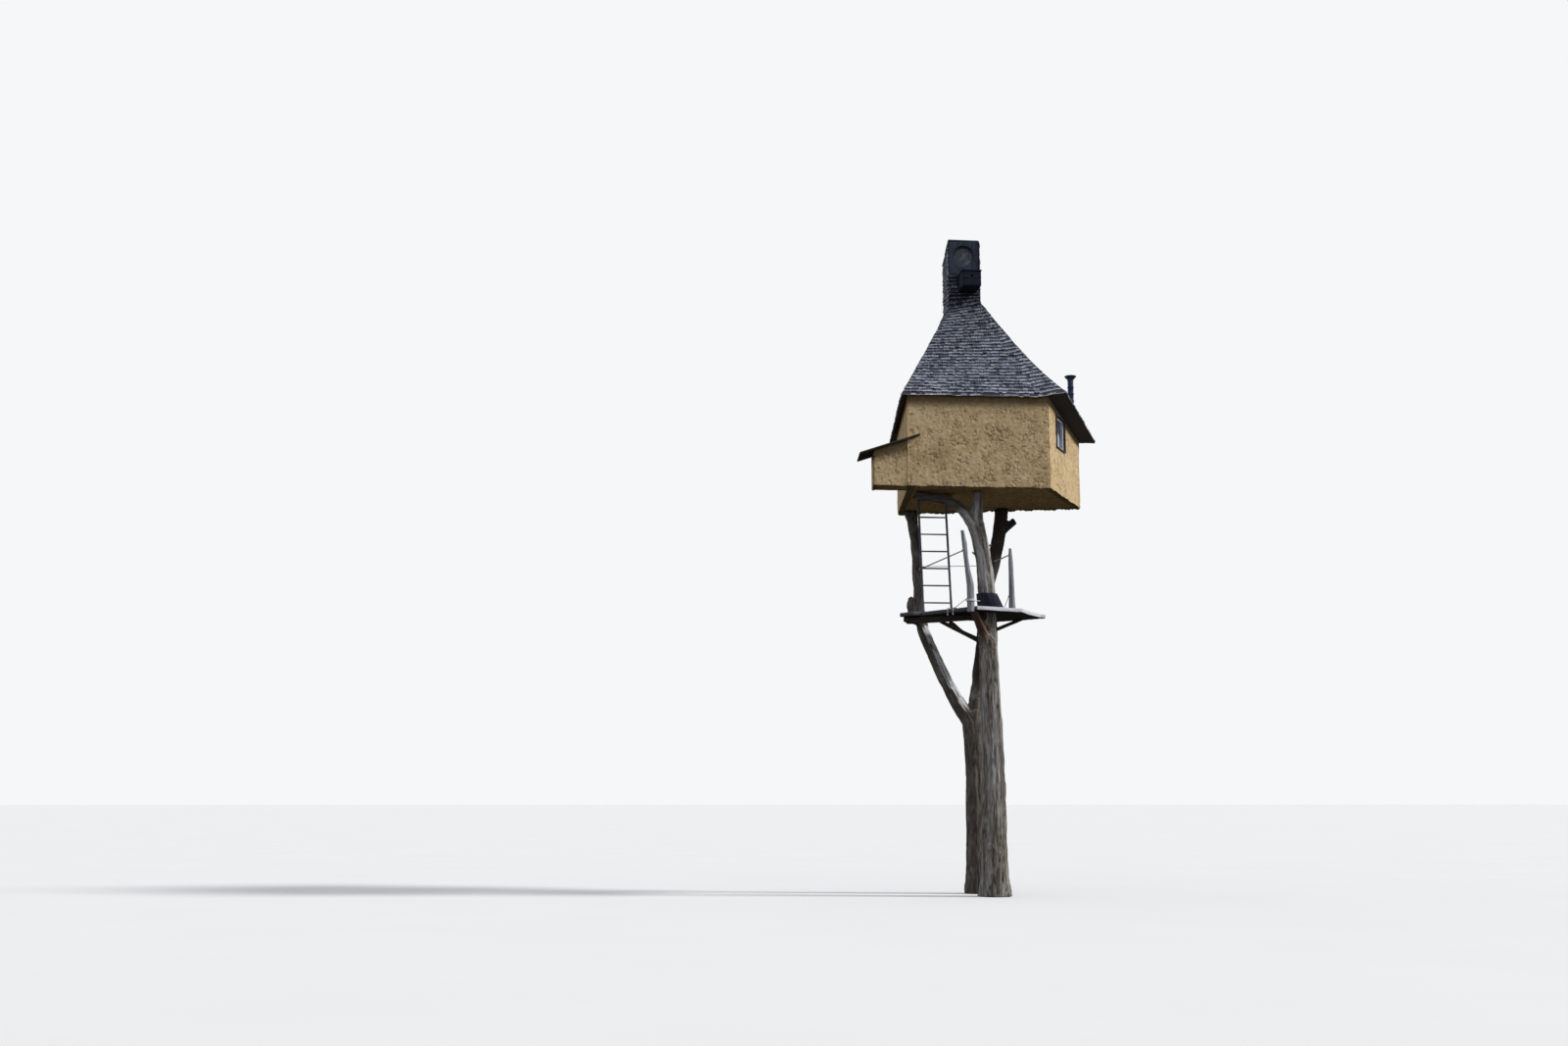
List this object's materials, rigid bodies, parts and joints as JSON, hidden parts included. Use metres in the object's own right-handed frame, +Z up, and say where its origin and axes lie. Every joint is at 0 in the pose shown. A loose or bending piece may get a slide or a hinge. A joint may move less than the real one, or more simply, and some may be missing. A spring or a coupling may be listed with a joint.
{
  "type": "tree house",
  "caption": "Small plastered cabin under a sweeping shake roof with a light turret, carried on two tree trunks, with a slab deck and ladder",
  "frame": {"origin": "centre of the front trunk's foot, on the ground", "axes": "+Z up; +X to the right along the front wall; +Y to the rear, away from the front wall"},
  "size_m": [4.3759, 3.3621, 10.7],
  "materials": {
    "bark_weathered": "weathered grey bark",
    "earth_plaster": "rough straw and earth plaster",
    "ladder_timber": "painted round and squared timber",
    "rope": "white laid rope",
    "shakes": "weathered cleft shakes",
    "stove_steel": "dark heat resistant paint",
    "timber_dark": "dark rough timber",
    "timber_silver": "silvered split timber",
    "turret_boards": "dark stained boards",
    "white_joinery": "white painted joinery",
    "window_pane": "clear pane"
  },
  "bodies": {
    "root": {"cabin_floor": "earth_plaster", "deck_beam": "timber_dark", "deck_slab_1": "timber_silver", "deck_slab_2": "timber_silver", "deck_slab_3": "timber_silver", "deck_slab_4": "timber_silver", "deck_slab_5": "timber_silver", "front_trunk": "bark_weathered", "front_wall": "earth_plaster", "ladder_left_rail": "ladder_timber", "ladder_right_rail": "ladder_timber", "ladder_rungs": "ladder_timber", "leanto_end_wall": "earth_plaster", "leanto_floor": "earth_plaster", "leanto_front_wall": "earth_plaster", "leanto_rear_wall": "earth_plaster", "leanto_roof": "timber_dark", "left_wall": "earth_plaster", "nest_box": "timber_silver", "nest_box_lid": "timber_silver", "porthole_frame": "turret_boards", "porthole_glass": "window_pane", "rail_post_front": "timber_silver", "rail_post_right": "timber_silver", "rear_trunk": "bark_weathered", "rear_wall": "earth_plaster", "right_wall": "earth_plaster", "roof_front_slope": "shakes", "roof_left_slope": "shakes", "roof_rear_slope": "shakes", "roof_right_slope": "shakes", "rope_left": "rope", "rope_right": "rope", "stove_pipe": "stove_steel", "stove_pipe_cap": "stove_steel", "strut_left": "timber_dark", "strut_right": "timber_dark", "trunk_collar": "turret_boards", "turret_front": "turret_boards", "turret_left": "shakes", "turret_lid": "turret_boards", "turret_rear": "shakes", "turret_right": "shakes", "window_frame": "white_joinery", "window_glass": "window_pane"}
  },
  "joints": []
}
